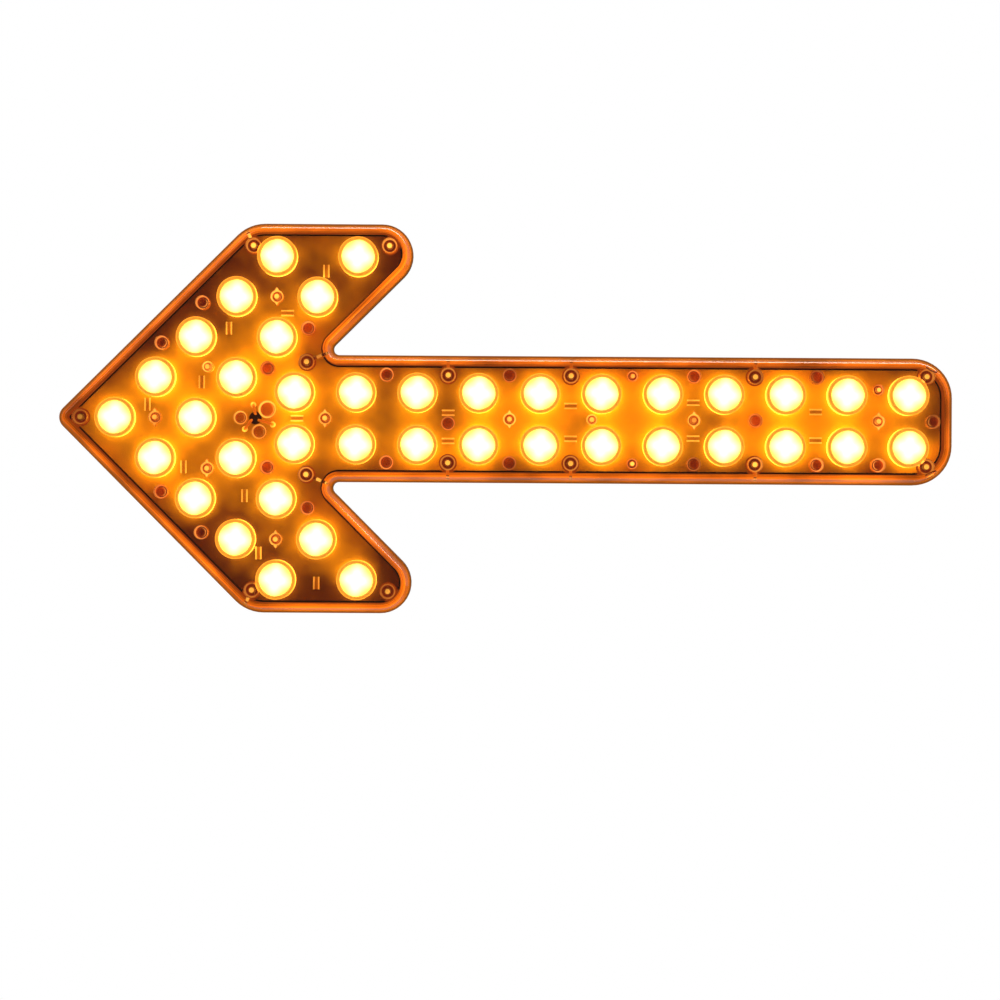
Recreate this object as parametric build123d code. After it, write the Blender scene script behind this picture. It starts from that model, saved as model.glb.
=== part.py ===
"""Arrow-shaped LED direction lamp, the lamp head of a traffic arrow board.

A clear amber cover with moulded-in posts closes a black tray. Between them lie a green board with forty
collimated LEDs, its resistors and driver, and a sealed three-pin inlet that comes in through the back.

Everything is drawn lying on its back: x runs from the arrow's tip to its tail, y across the arrow and z
out of the lit face, with z = 0 on the face that lies against whatever carries the lamp. stand_up() then
turns it upright: +Z up, lit face towards -Y, tip towards -X. Lengths are millimetres.
"""

from build123d import *
import math
import os

# ---- the arrow ---------------------------------------------------------------------------------------
overall_length = 450.0
head_height = 196.0
shaft_width = 64.0
wing_width = 74.0  # across each wing, square to its edges
tip_radius = 6.5
shoulder_radius = 20.0
wing_end_radius = 15.5
notch_radius = 3.0
tail_radius = 20.0

# ---- the stack, from the mounting face outwards ------------------------------------------------------
tray_floor = 3.0
joint_height = 11.0  # where tray and cover meet, and the underside of the board
joint_gap = 0.3  # the gasket holds the cover this far off the tray
board_thickness = 1.6
lens_unit_height = 14.0  # board to the top of a lens holder
lens_air_gap = 1.9  # lens holder to the inside of the cover
cover_face = 2.5
cover_wall = 2.5
cover_draft = 6.0  # degrees
cover_edge_radius = 2.0

# ---- tray rim, gasket and board edge -----------------------------------------------------------------
tray_lip = 0.8  # the tray stands out this far past the cover's foot
tray_edge_chamfer = 0.8
tongue_thickness = 1.8
tongue_height = 3.3
tongue_clearance = 0.2
gasket_width = 1.5
gasket_groove_depth = 1.2
board_inset = 6.2

# ---- lamps -------------------------------------------------------------------------------------------
columns = 11
row_gap = 6.1  # between the holders of the shaft's two rows
last_holder_to_tail = 12.5
chevron_to_first_column = 49.6
ranks = 4  # lamps in each arm of the chevron, beyond the one on the axis
last_holder_to_edge = 6.8
tip_to_outer_lamp = 31.5
tip_to_inner_lamp = 72.1
holder_radius = 10.0
holder_wall = 0.6
holder_ledge = 0.4  # width of the ledge a lens rests on
holder_lip = 1.2
holder_lip_thickness = 0.9
lens_clearance = 0.1
lens_flange = 1.0
lens_flange_step = 0.6  # the flange past the body of the lens
lens_foot_radius = 4.6
lens_foot_height = 1.3  # above the board
lens_pocket_radius = 2.6
lens_pocket_depth = 3.0
lens_crown = 0.35
led_base = 3.5
led_base_height = 0.7
led_dome_radius = 1.5

# ---- posts, tubes and screws -------------------------------------------------------------------------
post_inset = 10.0  # from the arrow's edge to a post's centre
post_radius = 3.8
post_pilot_clearance = 0.05
post_pilot_depth = 10.0
post_board_clearance = 0.7
tongue_relief = 0.4  # room left in the tongue round a post or a lens holder
post_beside_lamp = 3.1  # from a holder's side to the centre of a post placed beside it
lamp_relief = 0.3  # room left round a lens holder where a post or guard comes close
rib_thickness = 1.6
rib_lift = 0.7  # ribs start this far above the tray's tongue
tube_radius = 3.5
tube_bore_radius = 2.3
tube_clearance = 0.1
low_tube_drop = 2.2  # one tube on the axis stands this much lower, clear of a resistor
small_tube_radius = 2.7
guard_radius = 3.2
guard_bore_radius = 1.7
guard_point = 4.6  # half the height of a guard's diamond
guard_half_width = 2.9
guard_clearance = 0.4
plain_guard_radius = 2.7
tray_boss_wall = 1.5
counterbore_clearance = 0.35
counterbore_depth = 4.0
cover_screw_hole_clearance = 0.25
cover_screw_radius = 1.75
cover_screw_head_radius = 3.4
cover_screw_head_height = 2.4
cover_screw_length = 13.5
screw_seal_thickness = 0.8
board_boss_wall = 2.0
board_boss_pilot_clearance = 0.05
board_screw_radius = 1.45
board_screw_hole_clearance = 0.25
board_screw_head_radius = 2.75
board_screw_head_height = 2.0
board_screw_length = 6.0
recess_width = 0.8
recess_depth = 1.1
gate_mark_radius = 0.8
gate_mark_depth = 0.3

# ---- mounting studs ----------------------------------------------------------------------------------
shaft_stud_spacing = 180.0
tail_to_stud = 85.0
head_stud_spacing = 100.0
inlet_to_head_studs = 6.0
stud_radius = 3.0
stud_relief = 0.4  # the plain neck in the tray is turned down by this much below the thread
stud_hole_clearance = 0.2
stud_reach = 20.0  # out of the mounting face
stud_head_flats = 10.0
stud_head_height = 4.0
stud_seal_width = 2.4
stud_seal_thickness = 1.0

# ---- inlet -------------------------------------------------------------------------------------------
tip_to_inlet = 101.7
inlet_pocket_clearance = 3.5  # round the hexagon's flats, for a socket spanner
inlet_pocket_depth = 4.0
inlet_floor = 2.5
inlet_radius = 6.0
inlet_hole_clearance = 0.1
inlet_reach = 9.0  # of the coupling thread past the hexagon
inlet_flat_step = 2.5  # the hexagon's flats past the thread
inlet_flange = 2.4
inlet_seal_thickness = 1.0
inlet_seal_width = 1.9
inlet_wall = 1.5
inlet_inner_reach = 3.0  # of the shell past the pocket's floor, into the lamp
inlet_insert_thickness = 5.0
locknut_thickness = 2.4
locknut_clearance = 0.05
pin_radius = 0.5
pin_circle_radius = 2.2
pin_reach = 7.0  # of a contact past the insert, towards the plug
wire_hole_radius = 3.2

# ---- wires and parts on the board --------------------------------------------------------------------
wire_radius = 0.65
wire_crest = 2.6  # how high a wire's centre passes over the board
wire_bend_radius = 1.1
solder_radius = 1.5
resistor_length = 6.4
resistor_width = 3.2
resistor_height = 0.6
terminal_width = 0.75
terminal_height = 0.7
chip_length = 5.0
chip_width = 4.0
chip_height = 1.6
diode_length = 4.6
diode_width = 2.6
diode_height = 2.2
capacitor_radius = 3.15
capacitor_height = 5.4
capacitor_foot = 0.6
touch_gap = 0.02  # between parts that stand on the same surface

# ---- heights that follow from the stack --------------------------------------------------------------
board_top = joint_height + board_thickness
holder_top = board_top + lens_unit_height
cover_inside = holder_top + lens_air_gap
depth = cover_inside + cover_face
cover_foot = joint_height + joint_gap
tongue_top = joint_height + tongue_height
tongue_inset = tray_lip + cover_wall + tongue_clearance
tongue_inner_inset = tongue_inset + tongue_thickness

# ---- radii of holes, each from what passes through it ------------------------------------------------
post_pilot_radius = cover_screw_radius + post_pilot_clearance
cover_screw_hole_radius = cover_screw_radius + cover_screw_hole_clearance
counterbore_radius = cover_screw_head_radius + counterbore_clearance
tray_boss_radius = counterbore_radius + tray_boss_wall
board_screw_hole_radius = board_screw_radius + board_screw_hole_clearance
board_boss_pilot_radius = board_screw_radius + board_boss_pilot_clearance
board_boss_radius = board_boss_pilot_radius + board_boss_wall
stud_hole_radius = stud_radius + stud_hole_clearance
inlet_hole_radius = inlet_radius + inlet_hole_clearance
inlet_bore_radius = inlet_radius - inlet_wall
inlet_flats = 2 * (inlet_radius + inlet_flat_step)
inlet_pocket_radius = inlet_flats / 2 + inlet_pocket_clearance

# ---- corners of the arrow ----------------------------------------------------------------------------
corner_overshoot = tip_radius * (math.sqrt(2) - 1)  # of the sharp tip past the rounded one
tip_x = -overall_length / 2 - corner_overshoot
tail_x = overall_length / 2
shoulder = (tip_x + head_height / 2, head_height / 2)
wing_corner = (shoulder[0] + wing_width * math.sqrt(2), head_height / 2)
notch = (wing_corner[0] - (head_height - shaft_width) / 2, shaft_width / 2)
inlet_x = tip_x + tip_to_inlet


def mirrored(points):
    """The points and their images below the arrow's axis."""
    return [*points, *[(x, -y) for x, y in points]]


def arrow(inset=0.0):
    """The arrow's outline as a face, drawn in by inset."""
    upper = [(tip_x, 0.0), shoulder, wing_corner, notch, (tail_x, shaft_width / 2)]
    lower = [(x, -y) for x, y in reversed(upper[1:])]
    bends = [tip_radius, shoulder_radius, wing_end_radius, notch_radius, tail_radius]
    edge = FilletPolyline(*upper, *lower, radius=[*bends, *reversed(bends[1:])], close=True)
    face = make_face(edge)
    return offset(face, amount=-inset) if inset else face


def slab(face, low, high, taper=0.0):
    """A face pulled up from one height to another."""
    return extrude(Pos(0, 0, low) * face, amount=high - low, taper=taper)


def discs(places, radius):
    return Sketch() + [Pos(x, y) * Circle(radius) for x, y in places]


def pillars(places, radius, low, high):
    """Round bars of one size, one at each place."""
    return slab(discs(places, radius), low, high)


def stand_up(shape):
    """Turns the lamp from its back onto its lower edge, lit face to the front."""
    return Rot(X=90) * shape


# ---- where the lamps are -----------------------------------------------------------------------------
row_spacing = 2 * holder_radius + row_gap
rank_step = (head_height / 2 - last_holder_to_edge - holder_radius) / ranks
first_column_x = tip_x + tip_to_inner_lamp + chevron_to_first_column
column_pitch = (tail_x - last_holder_to_tail - holder_radius - first_column_x) / (columns - 1)


def column_x(number):
    """x of a column of the shaft, counted from 0 at the head; halves fall between columns."""
    return first_column_x + number * column_pitch


def chevron(start, rank):
    """A lamp of a chevron whose axis lamp is start past the sharp tip; rank counts up the arm."""
    return (tip_x + start + abs(rank) * rank_step, rank * rank_step)


def outer_lamp(rank):
    return chevron(tip_to_outer_lamp, rank)


def inner_lamp(rank):
    return chevron(tip_to_inner_lamp, rank)


def lamp_places():
    """Every lamp, by the name that its lens takes."""
    places = {"tip": outer_lamp(0), "head_inner_0": inner_lamp(0)}
    for rank in range(1, ranks + 1):
        for side, sign in (("upper", 1), ("lower", -1)):
            places[f"head_outer_{side}_{rank}"] = outer_lamp(sign * rank)
            places[f"head_inner_{side}_{rank}"] = inner_lamp(sign * rank)
    for number in range(columns):
        for side, sign in (("upper", 1), ("lower", -1)):
            places[f"shaft_{side}_{number + 1}"] = (column_x(number), sign * row_spacing / 2)
    return places


# ---- where the posts and tubes are -------------------------------------------------------------------
def between(a, b, sideways):
    """The point midway between two lamps, moved square to their line, to the left of a to b."""
    length = math.dist(a, b)
    across = (-(b[1] - a[1]) / length * sideways, (b[0] - a[0]) / length * sideways)
    return ((a[0] + b[0]) / 2 + across[0], (a[1] + b[1]) / 2 + across[1])


edge_row = shaft_width / 2 - post_inset  # y of the posts and tubes along the shaft's edges
tube_shift_outer = 9.8
tube_shift_inner = 8.0
guard_shift = (6.0, 5.2)
eighth = math.radians(22.5)
wing_end_centre = (wing_corner[0] - wing_end_radius / math.tan(eighth), head_height / 2 - wing_end_radius)
wing_post_offset = (3.8, 4.3)  # from the centre of the wing end's rounding
shoulder_post_bearing = 156.0  # from the last lamp of the outer chevron, in degrees
tail_post_bearing = 47.0  # from the last lamp of the shaft
notch_post_reach = 9.7
notch_post_bearing = math.radians(202.5)
ribbed_columns = [2.5, 4.5, 7.5]  # gaps between columns where a post is ribbed to the wall


def moved(place, offset):
    return (place[0] + offset[0], place[1] + offset[1])


def beside(lamp, bearing, gap):
    """The point at a distance from a holder's side, on a bearing in degrees from the lamp's centre."""
    reach, turn = holder_radius + gap, math.radians(bearing)
    return moved(lamp, (reach * math.cos(turn), reach * math.sin(turn)))


def shoulder_post():
    return beside(outer_lamp(ranks), shoulder_post_bearing, post_beside_lamp)


def tail_post():
    return beside((column_x(columns - 1), row_spacing / 2), tail_post_bearing, post_beside_lamp)


def cover_posts():
    """Posts that take the cover's screws."""
    reach = [notch_post_reach * turn(notch_post_bearing) for turn in (math.cos, math.sin)]
    upper = [
        shoulder_post(),
        moved(wing_end_centre, wing_post_offset),
        moved(notch, reach),
        *[(column_x(number), edge_row) for number in ribbed_columns],
        tail_post(),
    ]
    return [(tip_x + post_inset * math.sqrt(2), 0.0), *mirrored(upper)]


def press_tubes():
    """Hollow posts that hold the board down."""
    head = [
        between(outer_lamp(1), outer_lamp(2), tube_shift_outer),
        between(outer_lamp(2), outer_lamp(3), tube_shift_outer),
        between(inner_lamp(1), inner_lamp(2), -tube_shift_inner),
        between(inner_lamp(2), inner_lamp(3), -tube_shift_inner),
    ]
    edges = [(column_x(number), edge_row) for number in (1.5, 3.5, 6.5, 8.5)]
    axis = [(column_x(2.5), -low_tube_drop), (column_x(7.5), 0.0), (tail_x - 10.5, 0.0)]
    return [*mirrored([*head, *edges]), *axis, (column_x(9.5), -edge_row)]


def small_tubes():
    """Thinner hold-down tubes, where a lamp or a track is close."""
    return [*mirrored([(column_x(5.5), edge_row)]), (column_x(9.5), edge_row - 6.2)]


screw_columns = [0.5, 3.5, 6.5, 9.5]  # gaps between columns with a screw on the axis
close_column = 5  # a screw stands just before this column, between its two lamps
close_screw_gap = 1.2  # from that screw's head to the holders


def plain_guards():
    """Screws under a thin round guard, where a point would meet a lamp or a wire."""
    reach = holder_radius + close_screw_gap + board_screw_head_radius
    before = math.sqrt(max(reach**2 - (row_spacing / 2) ** 2, 0))
    shifted = moved(inner_lamp(0), (guard_shift[0], rank_step + guard_shift[1]))
    return [(column_x(close_column) - before, 0.0), shifted]


def board_screw_places():
    """Screws that hold the board to the tray, each under a guard of the cover."""
    lower_shifted = mirrored(plain_guards()[1:])[1]
    return [
        ((outer_lamp(0)[0] + inner_lamp(0)[0]) / 2, 0.0),
        *mirrored([(inner_lamp(2)[0], 3 * rank_step)]),
        *[(column_x(number), 0.0) for number in screw_columns],
        lower_shifted,
        *plain_guards(),
    ]


def wire_tubes():
    """Wider tubes of the cover round the inlet's wires: place and radius."""
    return [
        ((inlet_x - 7.0, 0.0), 3.4),
        ((inlet_x + 6.5, 4.2), 4.4),
        ((inlet_x + 2.4, -7.0), 3.7),
    ]


def stud_places():
    last = tail_x - tail_to_stud
    head = mirrored([(inlet_x + inlet_to_head_studs, head_stud_spacing / 2)])
    return [(last - shaft_stud_spacing, 0.0), (last, 0.0), *head]


# ---- casing ------------------------------------------------------------------------------------------
def cavity():
    """The room inside the cover."""
    return slab(arrow(tray_lip + cover_wall), cover_foot, cover_inside, cover_draft)


def ribs(low):
    """Plates from the posts to the nearest wall."""
    reach = post_inset
    plates = [
        Pos(x, math.copysign(abs(y) + reach / 2, y)) * Rectangle(rib_thickness, reach)
        for x, y in mirrored([(column_x(number), edge_row) for number in ribbed_columns])
    ]
    corners = [
        (tail_post(), 45),
        (shoulder_post(), 112.5),
        (cover_posts()[3], math.degrees(notch_post_bearing) - 180),
    ]
    for (x, y), bearing in corners:
        for side in (1, -1):
            outward = Pos(x, side * y) * Rot(Z=side * bearing) * Pos(reach / 2, 0)
            plates.append(outward * Rectangle(reach, rib_thickness))
    return slab(Sketch() + plates, low, cover_inside)


def guard_sections():
    """Round guards, most with a point above and below."""
    point = Polygon((0, guard_point), (-guard_half_width, 0), (0, -guard_point), (guard_half_width, 0))
    pointed = Circle(guard_radius) + point - Circle(guard_bore_radius)
    plain = Circle(plain_guard_radius) - Circle(guard_bore_radius)
    section = [plain if place in plain_guards() else pointed for place in board_screw_places()]
    return Sketch() + [Pos(x, y) * ring for (x, y), ring in zip(board_screw_places(), section)]


def make_front_cover():
    outer = slab(arrow(tray_lip), cover_foot, depth, cover_draft)
    outer = fillet(outer.faces().sort_by(Axis.Z)[-1].edges(), cover_edge_radius)
    room = cavity()
    tube_foot = board_top + tube_clearance
    guard_foot = board_top + board_screw_head_height + guard_clearance
    inside = pillars(cover_posts(), post_radius, cover_foot, cover_inside)
    inside += ribs(tongue_top + rib_lift)
    inside += pillars(press_tubes(), tube_radius, tube_foot, cover_inside)
    inside += pillars(small_tubes(), small_tube_radius, tube_foot, cover_inside)
    for place, radius in wire_tubes():
        inside += pillars([place], radius, board_top + wire_crest + 1.2, cover_inside)
    inside += slab(guard_sections(), guard_foot, cover_inside)
    inside -= pillars(lamp_places().values(), holder_radius + lamp_relief, cover_foot, holder_top + lamp_relief)
    cover = (outer - room) + (inside & room)
    cover -= pillars(cover_posts(), post_pilot_radius, cover_foot, cover_foot + post_pilot_depth)
    cover -= pillars(press_tubes(), tube_bore_radius, tube_foot, cover_inside)
    thin = tube_radius - tube_bore_radius
    cover -= pillars(small_tubes(), small_tube_radius - thin, tube_foot, cover_inside)
    for place, radius in wire_tubes():
        cover -= pillars([place], radius - thin, board_top, cover_inside)
    gates = [(tip_x + 33.7, -19.0), (notch[0] + 14.2, -64.5)]
    return cover - pillars(gates, gate_mark_radius, depth - gate_mark_depth, depth + 1)


def make_rear_housing():
    tray = slab(arrow(), 0, joint_height)
    tray = chamfer(tray.faces().sort_by(Axis.Z)[0].edges(), tray_edge_chamfer)
    tray += slab(arrow(tongue_inset), joint_height, tongue_top, cover_draft)
    tray -= slab(arrow(tongue_inner_inset), tray_floor, tongue_top + 1)
    tray -= pillars(cover_posts(), post_radius + tongue_relief, joint_height, tongue_top + 1)
    tray -= pillars(lamp_places().values(), holder_radius + tongue_relief, joint_height, tongue_top + 1)
    gasket_inset = tray_lip + (cover_wall - gasket_width) / 2
    groove = arrow(gasket_inset) - arrow(gasket_inset + gasket_width)
    tray -= slab(groove, joint_height - gasket_groove_depth, joint_height)
    inlet_top = inlet_pocket_depth + inlet_floor
    bosses = pillars(cover_posts(), tray_boss_radius, tray_floor, joint_height)
    bosses += pillars(board_screw_places(), board_boss_radius, tray_floor, joint_height)
    bosses += pillars([(inlet_x, 0)], inlet_pocket_radius + inlet_floor, tray_floor, inlet_top)
    under_groove = slab(arrow(tray_lip), 0, joint_height - gasket_groove_depth)
    tray += bosses & (under_groove + slab(arrow(tongue_inset), 0, joint_height))
    tray -= pillars(cover_posts(), counterbore_radius, 0, counterbore_depth)
    tray -= pillars(cover_posts(), cover_screw_hole_radius, 0, joint_height)
    pilot_foot = board_top - board_screw_head_height - board_screw_length
    tray -= pillars(board_screw_places(), board_boss_pilot_radius, pilot_foot, joint_height)
    tray -= pillars(stud_places(), stud_hole_radius, 0, tray_floor)
    tray -= pillars([(inlet_x, 0)], inlet_pocket_radius, 0, inlet_pocket_depth)
    return tray - pillars([(inlet_x, 0)], inlet_hole_radius, 0, inlet_top)


def make_cover_gasket():
    inset = tray_lip + (cover_wall - gasket_width) / 2
    return slab(arrow(inset) - arrow(inset + gasket_width), joint_height - gasket_groove_depth, cover_foot)


# ---- screws, studs and seals -------------------------------------------------------------------------
def cross_recess(half_length):
    bar = Rectangle(2 * half_length, recess_width)
    return bar + Rot(Z=90) * bar


def make_cover_screws():
    """Pan heads sunk in the back, points up into the cover's posts."""
    under_head = counterbore_depth - screw_seal_thickness
    low = under_head - cover_screw_head_height
    places = cover_posts()
    screws = pillars(places, cover_screw_head_radius, low, under_head)
    screws += pillars(places, cover_screw_radius, under_head, under_head + cover_screw_length)
    crosses = Sketch() + [Pos(x, y) * cross_recess(cover_screw_radius) for x, y in places]
    return screws - slab(crosses, low, low + recess_depth)


def make_board_screws():
    places = board_screw_places()
    top = board_top + board_screw_head_height
    screws = pillars(places, board_screw_head_radius, board_top, top)
    screws += pillars(places, board_screw_radius, board_top - board_screw_length, board_top)
    crosses = Sketch() + [Pos(x, y) * cross_recess(board_screw_radius) for x, y in places]
    return screws - slab(crosses, top - recess_depth, top)


def make_mounting_studs():
    """Hexagon bolts put in from inside, shanks out of the mounting face."""
    seat = tray_floor + stud_seal_thickness
    places = stud_places()
    heads = Sketch() + [
        Pos(x, y) * RegularPolygon(stud_head_flats / 2, 6, major_radius=False) for x, y in places
    ]
    studs = slab(heads, seat, seat + stud_head_height)
    studs += pillars(places, stud_radius - stud_relief, 0, seat)
    return studs + pillars(places, stud_radius, -stud_reach, 0)


def make_seal_rings():
    """Rubber rings under the studs' heads, the cover screws' heads and the inlet's hexagon."""
    rings = discs(stud_places(), stud_hole_radius + stud_seal_width)
    rings -= discs(stud_places(), stud_hole_radius)
    seals = slab(rings, tray_floor, tray_floor + stud_seal_thickness)
    rings = discs(cover_posts(), cover_screw_head_radius) - discs(cover_posts(), cover_screw_hole_radius)
    seals += slab(rings, counterbore_depth - screw_seal_thickness, counterbore_depth)
    ring = at_inlet(Circle(inlet_hole_radius + inlet_seal_width) - Circle(inlet_hole_radius))
    return seals + slab(ring, inlet_pocket_depth - inlet_seal_thickness, inlet_pocket_depth)


# ---- inlet -------------------------------------------------------------------------------------------
inlet_seat = inlet_pocket_depth - inlet_seal_thickness  # the hexagon's bearing face
inlet_rear = inlet_seat - inlet_flange - inlet_reach
inlet_front = inlet_pocket_depth + inlet_floor + inlet_inner_reach
insert_low = inlet_front - inlet_insert_thickness


def at_inlet(face):
    return Pos(inlet_x, 0) * face


def make_inlet_shell():
    hexagon = RegularPolygon(inlet_flats / 2, 6, major_radius=False)
    shell = slab(at_inlet(Circle(inlet_radius)), inlet_rear, inlet_front)
    shell += slab(at_inlet(hexagon), inlet_seat - inlet_flange, inlet_seat)
    return shell - slab(at_inlet(Circle(inlet_bore_radius)), inlet_rear, inlet_front)


def make_inlet_locknut():
    """Thin nut that draws the hexagon against its seal from inside."""
    low = inlet_pocket_depth + inlet_floor
    hexagon = RegularPolygon(inlet_flats / 2, 6, major_radius=False)
    return slab(at_inlet(hexagon - Circle(inlet_radius + locknut_clearance)), low, low + locknut_thickness)


def pin_places():
    """Contacts, evenly round the inlet, the first one above the axis."""
    bearings = [math.radians(90 + 120 * number) for number in range(3)]
    return [
        (inlet_x + pin_circle_radius * math.cos(a), pin_circle_radius * math.sin(a)) for a in bearings
    ]


def make_inlet_insert():
    body = slab(at_inlet(Circle(inlet_bore_radius - touch_gap)), insert_low, inlet_front)
    return body - pillars(pin_places(), pin_radius + touch_gap, insert_low, inlet_front)


def make_inlet_pins():
    return pillars(pin_places(), pin_radius, insert_low - pin_reach, inlet_front)


# ---- board -------------------------------------------------------------------------------------------
def make_circuit_board():
    outline = arrow(board_inset) - discs(cover_posts(), post_radius + post_board_clearance)
    outline -= discs(board_screw_places(), board_screw_hole_radius)
    outline -= at_inlet(Circle(wire_hole_radius))
    return slab(outline, joint_height, board_top)


# gaps between columns that hold a pair of resistors, and the rows of each pair
resistor_rows = {2.5: (3.2, -11.0), 4.5: (7.0, -9.5), 6.5: (9.0, -9.0), 8.5: (4.7, -9.6)}


def resistor_places():
    """Each place, and whether the resistor lies along the arrow."""
    across = [
        beside(outer_lamp(3), -105.0, 6.3),
        beside(inner_lamp(0), 82.0, 8.2),
        beside(outer_lamp(-1), -18.0, 4.6),
        beside(inner_lamp(3), 73.0, 3.9),
        beside(inner_lamp(-2), 175.0, 6.3),
        beside(outer_lamp(-3), -32.0, 3.3),
        beside(outer_lamp(-4), -5.0, 10.3),
        beside(outer_lamp(1), -108.0, 4.4),
    ]
    along = [beside(inner_lamp(2), 68.0, 3.3), (column_x(0) + 1.0, 0.0)]
    for number, rows in resistor_rows.items():
        along += [(column_x(number), row) for row in rows]
    return [(place, False) for place in across] + [(place, True) for place in along]


def chip_resistor():
    """A wide-terminal chip resistor, long side up."""
    body = slab(Rectangle(resistor_width, resistor_length), 0, resistor_height)
    for side in (-1, 1):
        x = side * (resistor_width - terminal_width) / 2
        body += slab(Pos(x, 0) * Rectangle(terminal_width, resistor_length), 0, terminal_height)
    return body


def make_chip_resistors():
    return Part() + [
        Pos(x, y, board_top) * Rot(Z=90 if level else 0) * chip_resistor()
        for (x, y), level in resistor_places()
    ]


def under_board(x, y, face, height):
    """Something of that plan soldered to the underside of the board."""
    return slab(Pos(x, y) * face, joint_height - height, joint_height)


driver_x = inlet_x + 26.0  # the driver sits under the board, on the tail side of the inlet
driver_y = 9.0


def make_controller_chip():
    body = under_board(driver_x, driver_y, Rectangle(chip_length, chip_width), chip_height)
    legs = [
        Pos(driver_x + (number - 1.5) * chip_length / 4, driver_y + side * (chip_width / 2 + 0.6))
        * Rectangle(0.45, 1.4)
        for number in range(4)
        for side in (-1, 1)
    ]
    return body + slab(Sketch() + legs, joint_height - 0.9, joint_height)


def make_protection_diodes():
    return Part() + [
        under_board(driver_x + 9.0, y, Rectangle(diode_length, diode_width), diode_height)
        for y in (driver_y - 2.5, driver_y + 2.5)
    ]


def make_smoothing_capacitors():
    cans = []
    for x in (driver_x - 2.0, driver_x + 8.0):
        foot = under_board(x, -driver_y, Rectangle(*[2 * capacitor_radius + 0.3] * 2), capacitor_foot)
        cans.append(foot + under_board(x, -driver_y, Circle(capacitor_radius), capacitor_height))
    return Part() + cans


# ---- wires -------------------------------------------------------------------------------------------
def pad_places():
    """Solder pads on the board's face, one for each contact."""
    return [(inlet_x - 1.0, 6.6), (inlet_x - 5.2, -5.6), (inlet_x + 8.8, -3.2)]


def wire_route(pin, pad):
    """Up from a contact through the board, over, and down to its pad."""
    crest = board_top + wire_crest
    return [
        (*pin, inlet_front),
        (*pin, crest),
        (*pad, crest),
        (*pad, board_top + wire_radius),
    ]


def make_lead_wires():
    wires = []
    for pin, pad in zip(pin_places(), pad_places()):
        route = FilletPolyline(*wire_route(pin, pad), radius=wire_bend_radius)
        section = Plane(origin=(*pin, inlet_front), z_dir=(0, 0, 1)) * Circle(wire_radius)
        wires.append(sweep(section, path=route))
    return Part() + wires


def make_solder_joints():
    """Domes of solder round the wires' ends."""
    domes = []
    for (x, y), route_end in zip(pad_places(), [board_top + wire_radius] * 3):
        cap = Pos(x, y, board_top) * Sphere(solder_radius)
        above = slab(Pos(x, y) * Circle(solder_radius + 1), board_top, board_top + solder_radius + 1)
        wire = slab(Pos(x, y) * Circle(wire_radius), route_end, board_top + solder_radius + 1)
        domes.append((cap & above) - wire)
    return Part() + domes


# ---- lamps -------------------------------------------------------------------------------------------
def upright(point):
    """A point of a half section, given as (radius, height)."""
    return (point[0], 0, point[1])


def turned(points):
    """A solid of revolution from the corners of its half section."""
    section = make_face(Polyline(*[upright(point) for point in points], close=True))
    return revolve(section, axis=Axis.Z)


def lens():
    """A collimator lens, standing on the board's face."""
    face_radius = holder_radius - holder_lip - lens_clearance
    flange_radius = holder_radius - holder_wall - lens_clearance
    flange_top = lens_unit_height - holder_lip_thickness - touch_gap
    flange_foot = flange_top - lens_flange
    body_radius = flange_radius - lens_flange_step
    pocket_top = lens_foot_height + lens_pocket_depth
    crown = (face_radius**2 + lens_crown**2) / (2 * lens_crown)  # radius of the domed face
    bearing = math.asin(face_radius / crown) / 2
    dome_middle = (crown * math.sin(bearing), lens_unit_height - crown * (1 - math.cos(bearing)))
    corners = [
        (0, lens_unit_height),
        (0, pocket_top),
        (lens_pocket_radius, pocket_top),
        (lens_pocket_radius, lens_foot_height),
        (lens_foot_radius, lens_foot_height),
    ]
    flange = [
        (body_radius, flange_foot),
        (flange_radius, flange_foot),
        (flange_radius, flange_top),
        (face_radius, flange_top),
        (face_radius, lens_unit_height - lens_crown),
    ]
    bowl_pull = (body_radius - 0.9, lens_foot_height + 0.45 * (flange_foot - lens_foot_height))
    profile = [
        Polyline(*[upright(point) for point in corners]),
        Bezier(upright(corners[-1]), upright(bowl_pull), upright(flange[0])),
        Polyline(*[upright(point) for point in flange]),
        ThreePointArc(upright(flange[-1]), upright(dome_middle), upright(corners[0])),
    ]
    return revolve(make_face(Wire([edge for line in profile for edge in line.edges()])), axis=Axis.Z)


def lens_holder():
    """The cup round a lens, whose flange sits between a ledge and a lip."""
    inside = holder_radius - holder_wall
    ledge = inside - holder_ledge
    lip = holder_radius - holder_lip
    top = lens_unit_height
    under_lip = top - holder_lip_thickness
    ledge_top = under_lip - lens_flange - 2 * touch_gap
    outer = [(ledge, 0), (holder_radius, 0), (holder_radius, top), (lip, top)]
    return turned([*outer, (lip, under_lip), (inside, under_lip), (inside, ledge_top), (ledge, ledge_top)])


def led():
    """A square ceramic base with a domed cap."""
    base = slab(Rectangle(led_base, led_base), 0, led_base_height)
    dome = Pos(0, 0, led_base_height) * Sphere(led_dome_radius)
    above = slab(Circle(led_dome_radius + 1), led_base_height, led_base_height + led_dome_radius + 1)
    return base + (dome & above)


def at_lamps(shape):
    return Part() + [Pos(x, y, board_top) * shape for x, y in lamp_places().values()]


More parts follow.
